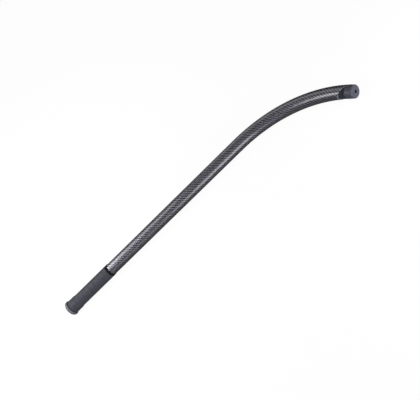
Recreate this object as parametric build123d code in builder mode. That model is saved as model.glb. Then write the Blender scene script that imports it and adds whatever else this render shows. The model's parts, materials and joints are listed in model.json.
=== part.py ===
"""A bent carbon-fibre throwing stick: a hollow tube that carp anglers load with round baits.

The stick lies flat. +X runs along the straight tube towards the mouth, the bend turns towards -Y,
+Z is up, and the origin is the centre of the butt cap's end face. All sizes are in millimetres.
"""
from build123d import *
import os
from math import cos, radians, sin

os.makedirs("parts", exist_ok=True)

# ---- Driving dimensions -------------------------------------------------------------------------
tube_radius = 15.0
tube_wall = 2.0
bore_radius = tube_radius - tube_wall

bend_start = 585.0         # X where the straight run ends
bend_radius = 340.0        # of the tube's centre line
bend_angle = 50.0          # degrees
tip_straight = 20.0        # straight run past the bend, before the mouth is cut
bend_spans = 5             # the bend is given in this many nodes, end to end

mouth_cut_angle = 45.0     # between the mouth's plane and a square cut
mouth_cut_offset = -0.7    # where the mouth's plane meets the centre line, past the bend's end

glue_gap = 0.03            # radial room for adhesive between bonded pieces
running_gap = 0.08         # radial room for the stopper in the bore
seam_gap = 0.4             # between the tube's cut edge and the stopper's shoulder
edge_break = 0.3           # small chamfer on cut carbon

# ---- Handle, along X ----------------------------------------------------------------------------
cap_end_flat = 14.5        # radius of the flat disc that the stick can stand on
cap_radius = 19.25
cap_widest_x = 6.6
cap_back_x = 9.2
cap_back_radius = 18.3
cap_crown_mid = (1.9, 17.8)    # a point on the rounded front of the button: X, radius
cap_heel_mid = (8.4, 18.95)    # a point on its rounded back
cap_spigot_end = 34.0
cap_spigot_chamfer = 1.0

washer_radius = 16.4
washer_end = 11.2

flare_radius = 17.35       # outside of the sleeve over the former
flare_end = 30.5
flare_taper_end = 36.5
grip_radius = 16.1
grip_end = 146.0
sleeve_wall = grip_radius - tube_radius - glue_gap
sleeve_edge = 0.5

former_tip_wall = 0.25     # the former thins down to this at the end of its taper

collar_end = 152.6
collar_radius = 15.95
collar_edge = 0.6

bung_length = 20.0
bung_chamfer = 0.8

# ---- Stopper, along the tip's own axis, measured from the end of the bend -----------------------
spigot_radius = bore_radius - running_gap
nose_radius = 11.2
nose_depth = 31.7
nose_edge = 2.0
core_radius = 14.4
core_end = 4.3
head_radius = 14.5
head_end = 23.8
head_edge = 3.2
head_lip_end = 15.4        # how far the part that fits inside the tube's long lip reaches

stem_radius = 5.0
stem_depth = 26.0
barb_radius = 6.8
barb_length = 3.0
pull_hole_radius = 2.7
pull_hole_sink = 0.5


# ---- Reference planes ---------------------------------------------------------------------------
bend = radians(bend_angle)
bend_end = (bend_start + bend_radius * sin(bend), bend_radius * (cos(bend) - 1.0), 0.0)
tip_direction = (cos(bend), -sin(bend), 0.0)
tip_outward = (sin(bend), cos(bend), 0.0)
tip_plane = Plane(origin=bend_end, x_dir=tip_outward, z_dir=tip_direction)
tip_axis = Axis(bend_end, tip_direction)
mouth_tilt = radians(mouth_cut_angle)
mouth_plane = Plane(
    origin=tip_plane.offset(mouth_cut_offset).origin,
    z_dir=Vector(tip_direction) * cos(mouth_tilt) - Vector(tip_outward) * sin(mouth_tilt),
)
shoulder_plane = mouth_plane.offset(seam_gap)
core_blank_start = mouth_cut_offset - tube_radius - seam_gap    # below the whole slanted shoulder


def finish(part, name):
    """Label a finished piece and write its STEP file."""
    part.label = name
    export_step(part, f"parts/{name}.step")


def ring_along_x(outer, inner, start, end):
    """A plain ring round the X axis, added to the part that is open."""
    with BuildSketch(Plane(origin=(start, 0.0, 0.0), z_dir=(1.0, 0.0, 0.0))) as ring:
        Circle(outer)
        Circle(inner, mode=Mode.SUBTRACT)
    extrude(ring.sketch, amount=end - start)


def outer_rims(part):
    """The outer edges of the flat faces that close a piece of the handle at both ends."""
    return [face.outer_wire().edge() for face in part.faces().filter_by(Axis.X)]


def tip_cylinder(radius, start, end, mode=Mode.ADD):
    """A cylinder on the tip's axis, added to the part that is open."""
    with BuildSketch(tip_plane.offset(start)) as disc:
        Circle(radius)
    extrude(disc.sketch, amount=end - start, mode=mode)


# ---- Carbon tube --------------------------------------------------------------------------------
# The real tube is one moulding. It is given as one straight node and several short ones round the
# bend, face to face, because each is then a simple shape for collision to follow, inside and out.
with BuildPart() as tube_straight:
    ring_along_x(tube_radius, bore_radius, washer_end, bend_start)
    butt_face = tube_straight.faces().filter_by(Axis.X).sort_by(Axis.X)[0]
    chamfer(butt_face.edges(), edge_break)
finish(tube_straight.part, "tube_straight")


def bend_plane(turned):
    """The plane square to the centre line where the tube has turned by this many degrees."""
    angle = radians(turned)
    place = (bend_start + bend_radius * sin(angle), bend_radius * (cos(angle) - 1.0), 0.0)
    return Plane(origin=place, z_dir=(cos(angle), -sin(angle), 0.0))


span_angle = bend_angle / bend_spans
for index in range(bend_spans):
    span_plane = bend_plane(index * span_angle)
    with BuildPart() as tube_bend:
        with BuildLine():
            arc = JernArc(span_plane.origin, span_plane.z_dir, bend_radius, -span_angle)
            if index == bend_spans - 1:
                Line(arc @ 1, arc @ 1 + (arc % 1) * tip_straight)
        with BuildSketch(span_plane):
            Circle(tube_radius)
            Circle(bore_radius, mode=Mode.SUBTRACT)
        sweep()
        if index == bend_spans - 1:
            split(bisect_by=mouth_plane, keep=Keep.BOTTOM)
            mouth_face = tube_bend.faces().filter_by(mouth_plane)[0]
            chamfer(mouth_face.edges(), edge_break)
    finish(tube_bend.part, f"tube_bend_{index + 1}")

# ---- Butt cap: a rounded rubber button on a solid spigot ----------------------------------------
with BuildPart() as butt_cap:
    with BuildSketch() as cap_profile:
        with BuildLine():
            Line((0.0, 0.0), (0.0, cap_end_flat))
            ThreePointArc((0.0, cap_end_flat), cap_crown_mid, (cap_widest_x, cap_radius))
            ThreePointArc((cap_widest_x, cap_radius), cap_heel_mid, (cap_back_x, cap_back_radius))
            Polyline(
                (cap_back_x, cap_back_radius),
                (cap_back_x, bore_radius - glue_gap),
                (cap_spigot_end - cap_spigot_chamfer, bore_radius - glue_gap),
                (cap_spigot_end, bore_radius - glue_gap - cap_spigot_chamfer),
                (cap_spigot_end, 0.0),
                (0.0, 0.0),
            )
        make_face()
    revolve(axis=Axis.X)
finish(butt_cap.part, "butt_cap")

# ---- Butt washer: the thin dark ring between the button and the grip ----------------------------
with BuildPart() as butt_washer:
    ring_along_x(washer_radius, bore_radius, cap_back_x, washer_end)
    chamfer(outer_rims(butt_washer), edge_break)
finish(butt_washer.part, "butt_washer")

# ---- Butt former: the hard ring under the sleeve that makes the grip flare ----------------------
former_inner = tube_radius + glue_gap
former_outer = flare_radius - sleeve_wall - glue_gap
with BuildPart() as butt_former:
    with BuildSketch() as former_profile:
        with BuildLine():
            Polyline(
                (washer_end, former_inner),
                (washer_end, former_outer),
                (flare_end, former_outer),
                (flare_taper_end, former_inner + former_tip_wall),
                (flare_taper_end, former_inner),
                close=True,
            )
        make_face()
    revolve(axis=Axis.X)
finish(butt_former.part, "butt_former")

# ---- Grip sleeve: woven rubber shrunk over the former and the tube ------------------------------
with BuildPart() as grip_sleeve:
    with BuildSketch() as sleeve_profile:
        with BuildLine():
            Polyline(
                (flare_end, flare_radius),
                (washer_end, flare_radius),
                (washer_end, former_outer + glue_gap),
                (flare_end, former_outer + glue_gap),
                (flare_taper_end, former_inner + former_tip_wall + glue_gap),
                (flare_taper_end, former_inner),
                (grip_end, former_inner),
                (grip_end, grip_radius),
                (flare_taper_end, grip_radius),
            )
            Spline(
                (flare_end, flare_radius),
                ((flare_end + flare_taper_end) / 2, (flare_radius + grip_radius) / 2),
                (flare_taper_end, grip_radius),
                tangents=((1.0, 0.0), (1.0, 0.0)),
            )
        make_face()
        sleeve_corners = [
            sleeve_profile.vertices().sort_by_distance(corner)[0]
            for corner in ((washer_end, flare_radius), (grip_end, grip_radius))
        ]
        fillet(sleeve_corners, sleeve_edge)
    revolve(axis=Axis.X)
finish(grip_sleeve.part, "grip_sleeve")

# ---- Collar ring: the black trim ring that ends the grip ----------------------------------------
with BuildPart() as collar_ring:
    ring_along_x(collar_radius, former_inner, grip_end, collar_end)
    fillet(outer_rims(collar_ring), collar_edge)
finish(collar_ring.part, "collar_ring")

# ---- Bore bung: the foam buffer that baits roll down onto ---------------------------------------
with BuildPart() as bore_bung:
    with BuildSketch(Plane(origin=(cap_spigot_end, 0.0, 0.0), z_dir=(1.0, 0.0, 0.0))):
        Circle(bore_radius - glue_gap)
    extrude(amount=bung_length)
    chamfer(bore_bung.edges().filter_by(GeomType.CIRCLE), bung_chamfer)
finish(bore_bung.part, "bore_bung")

# ---- Stopper core: the dark foam that grips the bore, with a shoulder that follows the slanted mouth ----
with BuildPart() as plug_core:
    tip_cylinder(core_radius, core_blank_start, core_end)
    split(bisect_by=shoulder_plane, keep=Keep.TOP)
    with BuildSketch(tip_plane.offset(-nose_depth)):
        Circle(nose_radius)
    with BuildSketch(tip_plane):
        Circle(spigot_radius)
    loft()
    tip_cylinder(spigot_radius, 0.0, core_end)
    nose_rim = plug_core.edges().filter_by(GeomType.CIRCLE).sort_by(tip_axis)[0]
    fillet(nose_rim, nose_edge)
    tip_cylinder(stem_radius + glue_gap, -stem_depth - glue_gap, core_end, Mode.SUBTRACT)
    tip_cylinder(
        barb_radius + glue_gap,
        -stem_depth - glue_gap,
        -stem_depth + barb_length + glue_gap,
        Mode.SUBTRACT,
    )
    tip_cylinder(pull_hole_radius, -nose_depth, -stem_depth, Mode.SUBTRACT)
finish(plug_core.part, "plug_core")

# ---- Stopper head: the smooth moulded end, with a barbed stem and its stretch of the pull hole ----
with BuildPart() as plug_head:
    tip_cylinder(head_radius, core_end, head_end)
    face_rim = plug_head.edges().filter_by(GeomType.CIRCLE).sort_by(tip_axis)[-1]
    fillet(face_rim, head_edge)
    split(bisect_by=shoulder_plane, keep=Keep.TOP)
    tip_cylinder(spigot_radius, core_end, head_lip_end)
    tip_cylinder(stem_radius, -stem_depth, core_end)
    tip_cylinder(barb_radius, -stem_depth, -stem_depth + barb_length)
    tip_cylinder(pull_hole_radius, -stem_depth, head_end, Mode.SUBTRACT)
    hole_rims = plug_head.edges().filter_by(GeomType.CIRCLE).group_by(SortBy.RADIUS)[0]
    chamfer(hole_rims.sort_by(tip_axis)[-1], pull_hole_sink)
finish(plug_head.part, "plug_head")
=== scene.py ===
import json
from math import acos, ceil, cos, hypot, pi, radians, sin, sqrt, tan

import bmesh
import bpy
from mathutils import Matrix, Vector


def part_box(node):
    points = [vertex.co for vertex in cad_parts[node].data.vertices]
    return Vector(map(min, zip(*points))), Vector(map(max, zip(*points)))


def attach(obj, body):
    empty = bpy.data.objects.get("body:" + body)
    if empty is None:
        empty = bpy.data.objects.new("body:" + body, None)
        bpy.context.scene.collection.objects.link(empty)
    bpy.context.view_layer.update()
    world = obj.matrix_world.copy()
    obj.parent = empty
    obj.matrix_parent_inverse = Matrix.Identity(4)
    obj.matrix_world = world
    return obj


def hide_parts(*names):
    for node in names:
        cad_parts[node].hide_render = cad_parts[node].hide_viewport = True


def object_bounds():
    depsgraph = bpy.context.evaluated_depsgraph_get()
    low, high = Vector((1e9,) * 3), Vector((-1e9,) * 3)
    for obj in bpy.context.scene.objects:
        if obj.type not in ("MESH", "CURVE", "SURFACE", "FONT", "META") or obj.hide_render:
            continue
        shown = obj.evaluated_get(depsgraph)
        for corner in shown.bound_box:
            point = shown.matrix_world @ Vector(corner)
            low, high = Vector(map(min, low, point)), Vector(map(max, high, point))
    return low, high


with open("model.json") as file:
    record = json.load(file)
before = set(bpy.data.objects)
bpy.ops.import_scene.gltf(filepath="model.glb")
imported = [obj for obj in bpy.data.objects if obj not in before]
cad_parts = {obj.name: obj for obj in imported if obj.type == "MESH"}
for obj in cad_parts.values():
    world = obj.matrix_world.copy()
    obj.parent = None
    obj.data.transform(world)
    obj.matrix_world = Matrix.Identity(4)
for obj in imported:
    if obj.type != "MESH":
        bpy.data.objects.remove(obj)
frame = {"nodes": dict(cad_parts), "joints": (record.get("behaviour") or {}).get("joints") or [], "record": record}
cad_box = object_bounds()

# A carbon throwing stick: one long lacquered tube, a woven rubber grip with its trim, and a stopper
# in the slanted mouth. Lengths are in metres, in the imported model's own frame: x runs along the
# straight tube from the butt, and the bend turns towards -y.


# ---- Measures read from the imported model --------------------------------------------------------
near = 0.00005             # slack when picking out the points of one ring
exact = 0.000002           # the same beside a rounding, whose next points are close by
up = Vector((0.0, 0.0, 1.0))


def points(node):
    """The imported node's own mesh points, at rest."""
    return [vertex.co for vertex in frame["nodes"][node].data.vertices]


def off_axis(point):
    """How far a point is from the straight tube's axis."""
    return hypot(point.y, point.z)


def mount_place(name):
    """Where the record puts a mount."""
    mounts = frame["record"]["mounts"]
    return Vector(next(mount["pos_m"] for mount in mounts if mount["name"] == name))


bend_nodes = sorted(name for name in frame["nodes"] if name.startswith("tube_bend"))

tube_low, tube_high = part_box("tube_straight")
tube_start = tube_low.x
bend_start = tube_high.x
tube_radius = tube_high.z
bore_radius = min(off_axis(point) for point in points("tube_straight"))

tip_direction = Vector(frame["joints"][0]["axis"]).normalized()
tip_outward = Vector((-tip_direction.y, tip_direction.x, 0.0))
bend_angle = acos(tip_direction.x)
pull_hole = mount_place("plug_pull_hole")
tangents_meet = pull_hole.x - pull_hole.y * tip_direction.x / tip_direction.y
bend_radius = (tangents_meet - bend_start) / tan(bend_angle / 2)
bend_length = bend_radius * bend_angle
bend_centre = Vector((bend_start, -bend_radius, 0.0))
bend_end = bend_centre + bend_radius * tip_outward

mouth_cut = radians(45)    # the mouth's slant, from square across the tube
mouth_normal = cos(mouth_cut) * tip_direction - sin(mouth_cut) * tip_outward
mouth_reach = max(mouth_normal.dot(point - bend_end) for point in points(bend_nodes[-1]))
mouth_middle = mouth_reach / cos(mouth_cut)
seam_gap = 0.0004          # between the tube's cut edge and the stopper's shoulder
shoulder_middle = mouth_middle + seam_gap / cos(mouth_cut)

grip_low, grip_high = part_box("grip_sleeve")
grip_start = grip_low.x
grip_end = grip_high.x
grip_middle = (grip_start + grip_end) / 2
grip_radius = max(off_axis(point) for point in points("grip_sleeve") if point.x > grip_middle)
sleeve_inside = min(off_axis(point) for point in points("grip_sleeve"))

former_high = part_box("butt_former")[1]
former_widest = 0.99 * former_high.z         # nearly the full radius, which it keeps up to its taper
flare_radius = grip_high.z
flare_end = max(point.x for point in points("butt_former") if off_axis(point) > former_widest)
flare_taper_end = former_high.x

floor_height = cad_box[0][2]


def tip_measures(node):
    """Each point of a stopper node, as its distance along the tip's axis and its distance from it."""
    measured = []
    for point in points(node):
        offset = point - bend_end
        along = offset.dot(tip_direction)
        measured.append((along, (offset - along * tip_direction).length))
    return measured


core = tip_measures("plug_core")
core_nose = min(along for along, _ in core)
core_end = max(along for along, _ in core)
core_radius = max(radius for _, radius in core)
hole_radius = min(radius for _, radius in core)
spigot_radius = max(radius for along, radius in core if abs(along) < near and radius < bore_radius)
nose_edge = 0.002          # the rounding of the core's nose
nose_face = max(radius for along, radius in core if along < core_nose + exact)
nose_wall = nose_face + nose_edge

head = tip_measures("plug_head")
head_end = max(along for along, _ in head)
head_radius = max(radius for _, radius in head)
head_side_end = max(along for along, radius in head if radius > head_radius - exact)
head_edge = head_end - head_side_end
face_rings = [radius for along, radius in head if along > head_end - near]
hole_sink = max(radius for radius in face_rings if radius < 2 * hole_radius) - hole_radius

stem_start = min(along for along, _ in head)
barb_radius = max(radius for along, radius in head if along < stem_start + near)
barb_end = max(along for along, radius in head if along < 0 and radius > barb_radius - near)
barb_rings = [radius for along, radius in head if abs(along - barb_end) < near]
stem_radius = min(radius for radius in barb_rings if radius > hole_radius + near)
inner_core = [along for along, radius in core if hole_radius + near < radius < core_radius / 2]
pocket_start = min(along for along in inner_core if along > core_nose + nose_edge)
pocket_gap = stem_start - pocket_start


# ---- Driving values of the drawn pieces ---------------------------------------------------------
around = 192               # points round the tube and the stopper's head
edge_break = 0.0003        # on the tube's cut edge
same_place = 0.000001      # points nearer than this are one point
sharp_angle = radians(30)  # faces that meet at more than this keep a hard edge between them

tows_around = 48           # fibre bundles round the tube, a multiple of the weave's repeat
tow_width = 2 * pi * tube_radius / tows_around
dots_around = 34           # raised dots of the grip's weave, round it
dot_length = 2 * pi * grip_radius / dots_around
diamonds_around = 18       # of the cross-hatching round the core
diamond_length = 2 * pi * core_radius / diamonds_around
groove_sharpness = 8       # higher makes the grooves between the diamonds narrower


# ---- The tube's own coordinates -----------------------------------------------------------------
mouth_search = 3 * tube_radius     # either side of the bend's end, far enough to hold the mouth
halvings = 40                      # of that stretch, which find the mouth to well under a micron


def centre_line(along):
    """The centre line's point and its outward direction, at a distance along it from the butt."""
    if along <= bend_start:
        return Vector((along, 0.0, 0.0)), Vector((0.0, 1.0, 0.0))
    turned = min((along - bend_start) / bend_radius, bend_angle)
    outward = Vector((sin(turned), cos(turned), 0.0))
    past_bend = max(along - bend_start - bend_length, 0.0)
    return bend_centre + bend_radius * outward + past_bend * tip_direction, outward


def on_tube(along, angle, radius):
    """A point at a distance along the tube and an angle round it, from the outside of the bend."""
    centre, outward = centre_line(along)
    return centre + radius * (cos(angle) * outward + sin(angle) * up)


def mouth_along(angle, radius, inset):
    """How far along the tube a line of its surface reaches the mouth's plane, less an inset."""
    low = bend_start + bend_length - mouth_search
    high = bend_start + bend_length + mouth_search
    for _ in range(halvings):
        middle = (low + high) / 2
        reach = mouth_normal.dot(on_tube(middle, angle, radius) - bend_end)
        if reach < mouth_reach - inset:
            low = middle
        else:
            high = middle
    return low


# ---- Mesh helpers -------------------------------------------------------------------------------
def skin(name, rings, marks):
    """A smooth closed piece through rings of points, with the last ring joined to the first. Marks
    give the place of each ring's points along the piece, for the pattern's map."""
    count = len(rings[0])
    faces = []
    corners = []
    for row in range(len(rings)):
        following = (row + 1) % len(rings)
        for column in range(count):
            beside = (column + 1) % count
            faces.append((row * count + column, row * count + beside,
                          following * count + beside, following * count + column))
            corners += [(marks[row][column], column), (marks[row][column], column + 1),
                        (marks[following][column], column + 1), (marks[following][column], column)]
    mesh = bpy.data.meshes.new(name)
    mesh.from_pydata([point for ring in rings for point in ring], [], faces)
    layer = mesh.uv_layers.new(name="pattern")
    for loop, (along, column) in zip(layer.data, corners):
        loop.uv = (along, column / count)
    work = bmesh.new()
    work.from_mesh(mesh)
    bmesh.ops.remove_doubles(work, verts=work.verts, dist=same_place)
    work.to_mesh(mesh)
    work.free()
    mesh.shade_smooth()
    mesh.set_sharp_from_angle(angle=sharp_angle)
    mesh.update()
    piece = bpy.data.objects.new(name, mesh)
    bpy.context.scene.collection.objects.link(piece)
    return piece


def angles_round(count):
    """Evenly spaced angles once round."""
    return [2 * pi * column / count for column in range(count)]


def steps(start, end, spacing):
    """Evenly spaced values from start up to, but not including, end."""
    count = max(1, ceil((end - start) / spacing))
    return [start + (end - start) * step / count for step in range(count)]


# ---- Materials ----------------------------------------------------------------------------------
class Finish:
    """A node material, with short calls for the nodes that the finishes below share."""

    def __init__(self, name):
        self.material = bpy.data.materials.new(name)
        self.material.use_nodes = True
        self.nodes = self.material.node_tree.nodes
        self.links = self.material.node_tree.links
        self.surface = self.nodes["Principled BSDF"]

    def set(self, **values):
        """Constant values on the shader's own sockets, with _ for a space in the socket's name."""
        for name, value in values.items():
            self.surface.inputs[name.replace("_", " ")].default_value = value

    def feed(self, socket, value):
        """Links a node's output to a socket, or sets a constant on it."""
        if isinstance(value, bpy.types.NodeSocket):
            self.links.new(value, socket)
        else:
            socket.default_value = value

    def math(self, operation, first, second=0.0, third=0.0):
        """The result of one operation on numbers."""
        node = self.nodes.new("ShaderNodeMath")
        node.operation = operation
        for socket, value in zip(node.inputs, (first, second, third)):
            self.feed(socket, value)
        return node.outputs[0]

    def mix(self, factor, first, second):
        """A number between first and second."""
        node = self.nodes.new("ShaderNodeMix")
        self.feed(node.inputs["Factor"], factor)
        self.feed(node.inputs["A"], first)
        self.feed(node.inputs["B"], second)
        return node.outputs["Result"]

    def mix_colour(self, factor, first, second):
        """A colour between first and second, each a node's output or red, green and blue."""
        node = self.nodes.new("ShaderNodeMix")
        node.data_type = "RGBA"
        colour_a, colour_b = node.inputs[6:8]
        self.feed(node.inputs["Factor"], factor)
        self.feed(colour_a, (*first, 1.0) if isinstance(first, tuple) else first)
        self.feed(colour_b, (*second, 1.0) if isinstance(second, tuple) else second)
        return node.outputs[2]

    def pattern(self):
        """The piece's own map: distance along it in metres, and share of the way round."""
        node = self.nodes.new("ShaderNodeUVMap")
        node.uv_map = "pattern"
        split = self.nodes.new("ShaderNodeSeparateXYZ")
        self.links.new(node.outputs["UV"], split.inputs[0])
        return split.outputs["X"], split.outputs["Y"]

    def noise(self, scale, detail=3.0, vector=None):
        """Noise from 0 to 1, over the object's own coordinates unless a vector is given."""
        node = self.nodes.new("ShaderNodeTexNoise")
        node.inputs["Scale"].default_value = scale
        node.inputs["Detail"].default_value = detail
        node.inputs["Roughness"].default_value = 0.55
        if vector is None:
            vector = self.nodes.new("ShaderNodeTexCoord").outputs["Object"]
        self.links.new(vector, node.inputs["Vector"])
        return node.outputs["Fac"]

    def vector(self, x, y):
        """A flat vector from two numbers."""
        node = self.nodes.new("ShaderNodeCombineXYZ")
        self.feed(node.inputs["X"], x)
        self.feed(node.inputs["Y"], y)
        return node.outputs[0]

    def relief(self, height, depth):
        """Bumps the base layer by a height from 0 to 1, depth metres tall."""
        node = self.nodes.new("ShaderNodeBump")
        node.inputs["Strength"].default_value = 1.0
        node.inputs["Distance"].default_value = depth
        self.feed(node.inputs["Height"], height)
        self.links.new(node.outputs[0], self.surface.inputs["Normal"])

    def colour(self, value):
        self.feed(self.surface.inputs["Base Color"], value)

    def roughness(self, value):
        self.feed(self.surface.inputs["Roughness"], value)


def rounded(finish, share, power):
    """1 in the middle of a bundle, 0 at its sides."""
    offset = finish.math("ABSOLUTE", finish.math("MULTIPLY_ADD", share, 2.0, -1.0))
    return finish.math("SUBTRACT", 1.0, finish.math("POWER", offset, power))


def twill(finish, along, across):
    """A two-by-two twill, with along and across in bundles. Bundles along the tube and bundles round
    it pass over and under each other two at a time, one bundle further on at each row, which makes
    diagonals. Returns 1 where the bundle on top runs along the tube, and the height of the weave."""
    column = finish.math("FLOOR", along)
    row = finish.math("FLOOR", across)
    in_column = finish.math("SUBTRACT", along, column)
    in_row = finish.math("SUBTRACT", across, row)
    step = finish.math("FLOORED_MODULO", finish.math("SUBTRACT", column, row), 4.0)
    lengthwise = finish.math("LESS_THAN", step, 1.5)
    float_share = finish.math("DIVIDE", finish.math("ADD", step, in_column), 2.0)
    steps_left = finish.math("SUBTRACT", 3.0, step)
    weft_share = finish.math("DIVIDE", finish.math("ADD", steps_left, in_row), 2.0)
    side_curve = 2.0
    end_curve = 4.0
    sides = rounded(finish, in_row, side_curve)
    lengthwise_height = finish.math("MULTIPLY", sides, rounded(finish, float_share, end_curve))
    sides = rounded(finish, in_column, side_curve)
    weft_height = finish.math("MULTIPLY", sides, rounded(finish, weft_share, end_curve))
    return lengthwise, finish.mix(lengthwise, weft_height, lengthwise_height)


def streaks(finish, along, across, along_scale, across_scale):
    """Noise drawn out in one direction, for the fibres in a bundle. Scales are per bundle."""
    x = finish.math("MULTIPLY", along, along_scale)
    y = finish.math("MULTIPLY", across, across_scale)
    return finish.noise(1.0, vector=finish.vector(x, y))


def carbon_finish():
    """Twill under satin lacquer. The bundles along the tube are painted far lighter than the same fibres round it,
    a painted sheen for how they catch more light.
    """
    # Painted sheen: the bundles along the tube get a far lighter colour than the crosswise ones, though both are
    # the same fibres; it stands in for how they catch light.
    lengthwise_sheen_colour = (0.55, 0.54, 0.65)
    crosswise_shaded_colour = (0.13, 0.127, 0.155)
    fibre_shade = (0.05, 0.05, 0.064)
    # Painted shade between the bundles, at their sides and where they dip under.
    tow_gap_shade = (0.02, 0.02, 0.026)
    with_fibres = 0.6
    across_fibres = 9.0

    finish = Finish("carbon_twill")
    along, round_share = finish.pattern()
    along = finish.math("DIVIDE", along, tow_width)
    across = finish.math("MULTIPLY", round_share, tows_around)
    lengthwise, height = twill(finish, along, across)
    fibres_along = streaks(finish, along, across, with_fibres, across_fibres)
    fibres_round = streaks(finish, along, across, across_fibres, with_fibres)
    fibres = finish.mix(lengthwise, fibres_round, fibres_along)

    # Painted sheen: a lighter colour where the bundle on top runs along the tube.
    tow = finish.mix_colour(lengthwise, crosswise_shaded_colour, lengthwise_sheen_colour)
    shaded = finish.mix_colour(finish.math("MULTIPLY", fibres, 0.6), tow, fibre_shade)
    # Painted shade: darker towards each bundle's sides and ends, following the weave's height.
    finish.colour(finish.mix_colour(finish.math("POWER", height, 0.5), tow_gap_shade, shaded))
    finish.roughness(finish.mix(fibres, 0.34, 0.5))
    finish.relief(finish.math("ADD", height, finish.math("MULTIPLY", fibres, 0.25)), 0.0002)
    finish.set(Metallic=0.9, Coat_Weight=1.0, Coat_Roughness=0.2, Coat_IOR=2.2)
    return finish.material


def cut_carbon_finish():
    """The tube's bare cut edge: sanded, grey, with its layers just showing."""
    finish = Finish("carbon_cut_edge")
    layers = finish.noise(2200.0, 4.0)
    finish.colour(finish.mix_colour(layers, (0.05, 0.05, 0.06), (0.15, 0.15, 0.17)))
    finish.roughness(finish.mix(layers, 0.45, 0.6))
    finish.relief(layers, 0.00005)
    return finish.material


def moulded_finish(name, dark, light, grain, depth, roughness=(0.55, 0.7), specular=0.4):
    """Moulded rubber, plastic or foam: a faint mottle and a fine grain, depth metres deep."""
    finish = Finish(name)
    mottle = finish.noise(60.0, 3.0)
    fine = finish.noise(grain, 4.0)
    finish.colour(finish.mix_colour(mottle, dark, light))
    finish.roughness(finish.mix(fine, *roughness))
    finish.relief(fine, depth)
    finish.set(Specular_IOR_Level=specular)
    return finish.material


def grip_finish():
    """Woven rubber: grey on the raised dots, with painted shade nearly black in the hollows between them, and a
    fine grain.
    """
    dark_top = (0.032, 0.032, 0.0427)
    light_top = (0.0516, 0.0516, 0.0685)
    # Painted shade in the hollows between the dots.
    dot_hollow_shade = (0.0107, 0.0107, 0.0142)

    finish = Finish("woven_grip_rubber")
    along, round_share = finish.pattern()
    turns_along = finish.math("MULTIPLY", along, 2 * pi / dot_length)
    turns_round = finish.math("MULTIPLY", round_share, 2 * pi * dots_around)
    wave_along = finish.math("COSINE", turns_along)
    wave_round = finish.math("COSINE", turns_round)
    raised = finish.math("MULTIPLY_ADD", finish.math("MULTIPLY", wave_along, wave_round), 0.5, 0.5)
    mottle = finish.noise(90.0, 3.0)
    fine = finish.noise(2600.0, 4.0)
    tops = finish.mix_colour(mottle, dark_top, light_top)
    # Painted shade: the colour goes nearly black away from the dots' tops.
    finish.colour(finish.mix_colour(finish.math("POWER", raised, 0.8), dot_hollow_shade, tops))
    finish.roughness(finish.mix(fine, 0.5, 0.7))
    finish.relief(fine, 0.00004)
    finish.set(Specular_IOR_Level=0.5)
    return finish.material


def cross_hatch_finish():
    """Dark foam, with painted shade in the grooves between its raised diamonds, so the diamonds stand a little
    lighter.
    """
    dark_top = (0.018, 0.02, 0.032)
    light_top = (0.036, 0.039, 0.058)
    # Painted shade in the grooves.
    groove_shade = (0.003, 0.003, 0.005)

    finish = Finish("stopper_foam_dark")
    along, round_share = finish.pattern()
    turns = finish.math("MULTIPLY", round_share, pi * diamonds_around)
    climb = finish.math("MULTIPLY", along, pi / diamond_length)
    rising = finish.math("ABSOLUTE", finish.math("COSINE", finish.math("ADD", turns, climb)))
    falling = finish.math("ABSOLUTE", finish.math("COSINE", finish.math("SUBTRACT", turns, climb)))
    cut = finish.math("POWER", finish.math("MAXIMUM", rising, falling), groove_sharpness)
    pores = finish.noise(1800.0, 4.0)
    tops = finish.mix_colour(pores, dark_top, light_top)
    # Painted shade: the grooves' colour where the cut is deepest.
    finish.colour(finish.mix_colour(cut, tops, groove_shade))
    finish.roughness(finish.mix(pores, 0.6, 0.8))
    finish.relief(pores, 0.00006)
    finish.set(Specular_IOR_Level=0.3)
    return finish.material


carbon = carbon_finish()
cut_carbon = cut_carbon_finish()
grip_rubber = grip_finish()
cap_rubber = moulded_finish(
    "butt_cap_rubber", dark=(0.06, 0.063, 0.08), light=(0.085, 0.088, 0.108),
    grain=3000.0, depth=0.00002, roughness=(0.36, 0.46), specular=1.0,
)
trim_black = moulded_finish(
    "collar_satin_black", dark=(0.003, 0.003, 0.004), light=(0.007, 0.007, 0.009),
    grain=3000.0, depth=0.00001, roughness=(0.6, 0.7), specular=0.12,
)
washer_rubber = moulded_finish(
    "washer_rubber_black", dark=(0.008, 0.008, 0.009), light=(0.014, 0.014, 0.016),
    grain=2500.0, depth=0.00003,
)
stopper_foam = cross_hatch_finish()
# Painted shade inside the pull hole and on its sunk edge.
hole_painted_shade = moulded_finish(
    "pull_hole_painted_shade", dark=(0.004, 0.004, 0.005), light=(0.007, 0.007, 0.009),
    grain=1500.0, depth=0.00003,
)
stopper_plastic = moulded_finish(
    "stopper_plastic_grey", dark=(0.029, 0.0305, 0.041), light=(0.04, 0.042, 0.056),
    grain=2800.0, depth=0.00002, roughness=(0.42, 0.54), specular=0.9,
)
hidden_plastic = moulded_finish(
    "former_plastic_black", dark=(0.03, 0.03, 0.03), light=(0.05, 0.05, 0.05),
    grain=1500.0, depth=0.00003,
)
bung_foam = moulded_finish(
    "bung_foam_black", dark=(0.03, 0.03, 0.03), light=(0.05, 0.05, 0.05),
    grain=900.0, depth=0.0001,
)


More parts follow.
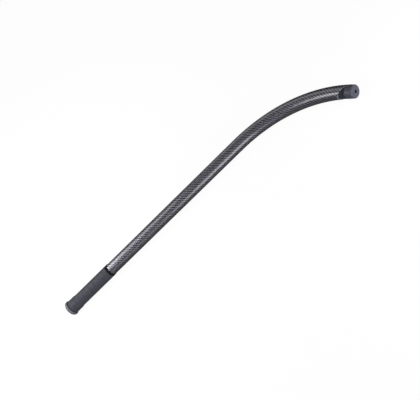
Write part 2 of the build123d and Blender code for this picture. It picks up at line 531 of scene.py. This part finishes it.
# ---- Carbon tube --------------------------------------------------------------------------------
def make_tube():
    """The whole tube as one closed wall: outside, cut rim, bore and butt end."""
    straight_step = 0.01
    bend_step = 0.003
    closing_rows = 16          # of rings that tilt little by little, from square to the mouth's slant
    angles = angles_round(around)
    plain_end = bend_start + bend_length - 2 * tube_radius
    stations = steps(tube_start, bend_start, straight_step) + steps(bend_start, plain_end, bend_step)

    def wall(radius):
        """The rows of one wall, each with its points' distances along the tube."""
        ends = [mouth_along(angle, radius, edge_break) for angle in angles]
        rows = [[along] * around for along in stations]
        for step in range(closing_rows):
            share = (step + 1) / closing_rows
            rows.append([plain_end + share * (end - plain_end) for end in ends])
        return rows

    def rim(radius):
        """A radius and its row of the flat cut edge, in the mouth's plane."""
        return radius, [mouth_along(angle, radius, 0.0) for angle in angles]

    outside = [(tube_radius, row) for row in wall(tube_radius)]
    inside = [(bore_radius, row) for row in wall(bore_radius)]
    rows = outside + [rim(tube_radius - edge_break), rim(bore_radius + edge_break)] + inside[::-1]
    rings = [[on_tube(along, angle, radius) for along, angle in zip(row, angles)] for radius, row in rows]
    tube = skin("carbon_tube", rings, [row for _, row in rows])
    tube.data.materials.append(carbon)
    tube.data.materials.append(cut_carbon)
    first_rim_face = (len(outside) - 1) * around
    rim_faces = 3 * around     # the flat cut edge, and a bevel on each side of it
    for face in tube.data.polygons[first_rim_face:first_rim_face + rim_faces]:
        face.material_index = 1
    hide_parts("tube_straight", *bend_nodes)
    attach(tube, "stick")


make_tube()


# ---- Grip sleeve --------------------------------------------------------------------------------
def make_grip():
    """The sleeve over the handle, with its fine woven relief and its flare at the butt."""
    points_per_dot = 6
    dot_depth = 0.00022
    edge = 0.0005
    edge_steps = 4
    columns = dots_around * points_per_dot
    angles = angles_round(columns)

    def sleeve_radius(x):
        share = min(max((x - flare_end) / (flare_taper_end - flare_end), 0.0), 1.0)
        smooth = share * share * (3 - 2 * share)
        return flare_radius + (grip_radius - flare_radius) * smooth

    def from_end(x):
        return min(x - grip_start, grip_end - x)

    def rounded_off(x):
        """How much the sleeve's ends are rounded down."""
        if from_end(x) >= edge:
            return 0.0
        return edge - sqrt(max(edge * edge - (edge - from_end(x)) ** 2, 0.0))

    def relief(x, angle):
        """How far the surface is below the dots' tops, with no dots on the rounded ends."""
        fade = min(1.0, max(0.0, from_end(x) / (2 * edge) - 0.5))
        wave = cos(2 * pi * x / dot_length) * cos(dots_around * angle)
        return dot_depth * (1.0 - fade * (0.5 + 0.5 * wave))

    quarter_step = pi / 2 / edge_steps
    stations = [grip_start + edge * (1 - cos(quarter_step * step)) for step in range(edge_steps)]
    stations += steps(grip_start + edge, grip_end - edge, dot_length / points_per_dot)
    stations += [grip_end - edge * (1 - sin(quarter_step * step)) for step in range(edge_steps + 1)]
    rows = []
    for x in stations:
        outline = sleeve_radius(x) - rounded_off(x)
        rows.append((x, [outline - relief(x, angle) for angle in angles]))
    rows += [(x, [sleeve_inside] * columns) for x in (grip_end, flare_taper_end)]
    former_radius = flare_radius - (grip_radius - sleeve_inside)
    rows += [(x, [former_radius] * columns) for x in (flare_end, grip_start)]

    rings = [
        [Vector((x, radius * cos(angle), radius * sin(angle))) for radius, angle in zip(radii, angles)]
        for x, radii in rows
    ]
    grip = skin("woven_grip", rings, [[x] * columns for x, _ in rows])
    grip.data.materials.append(grip_rubber)
    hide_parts("grip_sleeve")
    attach(grip, "stick")


make_grip()


# ---- Stopper ------------------------------------------------------------------------------------
# A profile is a closed outline at one angle round the stopper, from the outside of the bend. Its
# points are pairs: distance along the tip's axis from the bend's end, and distance from the axis.
def shoulder(angle, radius):
    """Where the slanted shoulder crosses a line along the stopper, at an angle and a radius."""
    return shoulder_middle + radius * cos(angle) * tan(mouth_cut)


def shoulder_radius(angle):
    """How far out the slanted shoulder is at the core's end, on the side where it gets there."""
    return (core_end - shoulder_middle) / cos(angle) / tan(mouth_cut)


def core_wall(along):
    """The radius of the part of the core that fits the bore, narrowing towards its nose."""
    share = min(max(along / core_nose, 0.0), 1.0)
    return spigot_radius + share * (nose_wall - spigot_radius)


def rounding(along, radius, edge, start, end, count):
    """Points of a rounded edge about a centre, between two angles from the axis."""
    turns = [start + (end - start) * step / count for step in range(count + 1)]
    return [(along + edge * cos(turn), radius + edge * sin(turn)) for turn in turns]


def stopper_piece(name, profile_at, material, count):
    """A closed skin through one profile for each angle, with every profile the same length."""
    angles = angles_round(count)
    profiles = [profile_at(angle) for angle in angles]
    rings = []
    marks = []
    for row in zip(*profiles):
        rings.append([
            bend_end + along * tip_direction + radius * (cos(angle) * tip_outward + sin(angle) * up)
            for (along, radius), angle in zip(row, angles)
        ])
        marks.append([along for along, _ in row])
    piece = skin(name, rings, marks)
    piece.data.materials.append(material)
    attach(piece, "stopper")
    return piece


def groove(along, angle):
    """How deep the cross-hatching is cut, from 0 to 1: two sets of slanted grooves."""
    turns = diamonds_around * angle
    climb = 2 * pi * along / diamond_length
    return max(abs(cos((turns + climb) / 2)), abs(cos((turns - climb) / 2))) ** groove_sharpness


def core_profile(angle):
    """The core's outline: nose, the wall in the bore, the cross-hatched flange, and the pocket for
    the head's stem. The flange stands on the slanted shoulder, and dwindles to nothing where the
    shoulder passes the core's end."""
    groove_depth = 0.0006
    flange_rows = 56
    nose_steps = 6
    settling = 20              # rounds that find where the narrowing wall meets the shoulder

    at_wall = shoulder(angle, spigot_radius)
    for _ in range(settling):
        at_wall = shoulder(angle, core_wall(at_wall))
    wall_end = min(at_wall, core_end)
    flange_start = min(shoulder(angle, core_radius), core_end)
    flange = core_radius
    if at_wall >= core_end:
        flange = spigot_radius
    elif shoulder(angle, core_radius) > core_end:
        flange = shoulder_radius(angle)

    profile = [(core_nose, hole_radius)]
    profile += rounding(core_nose + nose_edge, nose_face, nose_edge, pi, pi / 2, nose_steps)
    profile.append((wall_end, core_wall(wall_end)))
    flange_height = (flange - spigot_radius) / groove_depth / 2
    deepest = groove_depth * max(0.0, min(1.0, flange_height))
    for step in range(flange_rows + 1):
        along = flange_start + (core_end - flange_start) * step / flange_rows
        fade_out = max(0.0, min(1.0, (core_end - along) / edge_break))
        profile.append((along, flange - deepest * groove(along, angle) * fade_out))

    stem_pocket = stem_radius + pocket_gap
    barb_pocket = barb_radius + pocket_gap
    profile += [(core_end, stem_pocket), (barb_end + pocket_gap, stem_pocket)]
    profile += [(barb_end + pocket_gap, barb_pocket), (pocket_start, barb_pocket)]
    profile.append((pocket_start, hole_radius))
    return profile


def head_profile(angle):
    """The head's outline: barb, stem, underside, the seat on the tube's lip, outside, face and hole."""
    side_rows = 8
    edge_steps = 10

    seat = spigot_radius
    seat_end = shoulder(angle, spigot_radius)
    if seat_end < core_end:
        seat = head_radius
        if shoulder(angle, head_radius) > core_end:
            seat = shoulder_radius(angle)
        seat_end = core_end
    side_start = max(core_end, shoulder(angle, head_radius))

    profile = [(stem_start, hole_radius), (stem_start, barb_radius), (barb_end, barb_radius)]
    profile += [(barb_end, stem_radius), (core_end, stem_radius), (core_end, seat), (seat_end, seat)]
    for step in range(side_rows):
        profile.append((side_start + (head_side_end - side_start) * step / side_rows, head_radius))
    profile += rounding(head_side_end, head_radius - head_edge, head_edge, pi / 2, 0.0, edge_steps)
    profile += [(head_end, hole_radius + hole_sink), (head_end - hole_sink, hole_radius)]
    return profile


def make_stopper_core():
    """The dark foam core, with enough points round it to draw the grooves."""
    piece = stopper_piece("stopper_core", core_profile, stopper_foam, 16 * diamonds_around)
    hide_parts("plug_core")


def make_stopper_head():
    """The smooth grey head, with painted shade darkening the pull hole and its sunk edge."""
    piece = stopper_piece("stopper_head", head_profile, stopper_plastic, around)
    piece.data.materials.append(hole_painted_shade)
    hole_reach = hole_radius + hole_sink + near

    def from_tip_axis(corner):
        offset = piece.data.vertices[corner].co - bend_end
        return (offset - offset.dot(tip_direction) * tip_direction).length

    # These faces, on the hole's wall and sunk edge, get the painted shade.
    for face in piece.data.polygons:
        if all(from_tip_axis(corner) < hole_reach for corner in face.vertices):
            face.material_index = 1
    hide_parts("plug_head")


make_stopper_core()
make_stopper_head()


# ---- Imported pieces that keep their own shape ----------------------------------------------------
def dress(node, material):
    """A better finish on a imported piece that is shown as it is."""
    piece = frame["nodes"][node]
    for place in piece.material_slots:
        place.link = "OBJECT"
        place.material = material


dress("butt_cap", cap_rubber)
dress("butt_washer", washer_rubber)
dress("butt_former", hidden_plastic)
dress("collar_ring", trim_black)
dress("bore_bung", bung_foam)


# ---- Floor --------------------------------------------------------------------------------------
def make_floor():
    """A white floor that is partly its own light, and shows neither in the lacquer nor as a shadow
    caster. It still throws some light up at the stick."""
    half = 4.0
    grey = 0.04
    mesh = bpy.data.meshes.new("studio_floor")
    corners = [(-half, -half, floor_height), (half, -half, floor_height),
               (half, half, floor_height), (-half, half, floor_height)]
    mesh.from_pydata(corners, [], [(0, 1, 2, 3)])
    floor = bpy.data.objects.new("studio_floor", mesh)
    bpy.context.scene.collection.objects.link(floor)
    finish = Finish("white_floor")
    finish.set(Base_Color=(grey, grey, grey, 1.0), Roughness=1.0, Specular_IOR_Level=0.0,
               Emission_Color=(1.0, 1.0, 1.0, 1.0), Emission_Strength=0.95)
    mesh.materials.append(finish.material)
    floor.visible_glossy = False
    floor.visible_shadow = False


make_floor()


# ---- Lights -------------------------------------------------------------------------------------
lamp_gap = 0.02            # between the two lamps of one softbox
usual_glare = 0.28         # the share of a softbox's power that shows as glare
ceiling = 0.8              # height of the overhead softboxes
side_wall = -1.55          # y of the softboxes on the side that the stick bends to


def make_lamp(name, place, aim, size, power):
    """A rectangular lamp that the camera doesn't see. Power is in watts."""
    light = bpy.data.lights.new(name, "AREA")
    light.shape = "RECTANGLE"
    light.size, light.size_y = size
    light.energy = power
    lamp = bpy.data.objects.new(name, light)
    lamp.location = place
    lamp.rotation_euler = (Vector(aim) - Vector(place)).to_track_quat("-Z", "Y").to_euler()
    lamp.visible_camera = False
    bpy.context.scene.collection.objects.link(lamp)
    return lamp


def make_softbox(name, place, aim, size, power, glare=usual_glare):
    """A softbox as two lamps, so that its glare in the lacquer can be weaker than its light. With no glare it is
    one lamp, for its light only.
    """
    forward = (Vector(aim) - Vector(place)).normalized()
    if glare > 0.0:
        make_lamp(f"{name}_glare", Vector(place) + lamp_gap * forward, aim, size, power * glare)
    light = make_lamp(f"{name}_light", place, aim, size, power * (1.0 - glare))
    light.visible_glossy = False


def overhead(x, y):
    """A place under the ceiling, and the point straight below it at the stick's height."""
    return (x, y, ceiling), (x, y, 0.0)


def beside(x, z):
    """A place at the side wall, and the point straight across from it."""
    return (x, side_wall, z), (x, 0.0, z)


make_softbox("overhead_softbox", *overhead(-0.31, 0.17), (0.28, 0.66), 8.3)
make_softbox("overhead_left", *overhead(-0.5, -0.4), (0.5, 0.5), 9.0)
make_softbox("overhead_fill", *overhead(-0.02, 0.12), (0.3, 0.45), 2.0)
make_softbox("overhead_back", (0.45, 1.3, 1.5), (0.6, 0.0, 0.0), (0.9, 1.1), 6.0)
make_softbox("side_softbox", *beside(0.27, -0.03), (0.65, 1.0), 13.0)
make_softbox("side_fill", *beside(-0.45, 0.05), (0.85, 0.6), 1.8)
make_softbox("back_wall", (-0.65, 2.0, 0.8), (-0.3, 0.0, 0.3), (2.3, 1.5), 4.8)
make_softbox("camera_fill", (0.8, -2.2, 2.0), (0.4, 0.0, 0.0), (2.5, 1.8), 8.0)
make_softbox("tip_light", (1.25, -0.6, 0.12), pull_hole, (0.3, 0.3), 12.0, glare=0.0)
make_softbox("butt_light", (-1.9, 1.6, 0.3), (0.0, 0.0, 0.0), (1.0, 1.0), 38.0, glare=0.2)


def make_world():
    """White to the camera, a dim even room to everything else."""
    world = bpy.data.worlds.new("studio")
    bpy.context.scene.world = world
    world.use_nodes = True
    nodes = world.node_tree.nodes
    links = world.node_tree.links
    background = nodes["Background"]
    path = nodes.new("ShaderNodeLightPath")
    strength = nodes.new("ShaderNodeMix")
    links.new(path.outputs["Is Camera Ray"], strength.inputs["Factor"])
    strength.inputs["A"].default_value = 0.05
    strength.inputs["B"].default_value = 1.0
    links.new(strength.outputs["Result"], background.inputs["Strength"])
    background.inputs["Color"].default_value = (1.0, 1.0, 1.0, 1.0)


make_world()


# ---- Camera -------------------------------------------------------------------------------------
def make_camera():
    """The camera looks down at the stick from the side that it bends to, rolled to stand it up."""
    aim = Vector((0.4637, -0.0682, 0.0))
    distance = 1.8612
    azimuth = radians(21.13)
    elevation = radians(39.2)
    roll = radians(-57.74)
    lens = 71.68
    back = Vector((sin(azimuth) * cos(elevation), -cos(azimuth) * cos(elevation), sin(elevation)))
    level_right = up.cross(back).normalized()
    level_up = back.cross(level_right)
    right = cos(roll) * level_right + sin(roll) * level_up
    turned_up = back.cross(right)
    data = bpy.data.cameras.new("camera")
    data.lens = lens
    camera = bpy.data.objects.new("camera", data)
    turned = Matrix((right, turned_up, back)).transposed().to_4x4()
    camera.matrix_world = Matrix.Translation(aim + distance * back) @ turned
    bpy.context.scene.collection.objects.link(camera)
    bpy.context.scene.camera = camera


make_camera()
bpy.context.scene.view_settings.view_transform = "Standard"
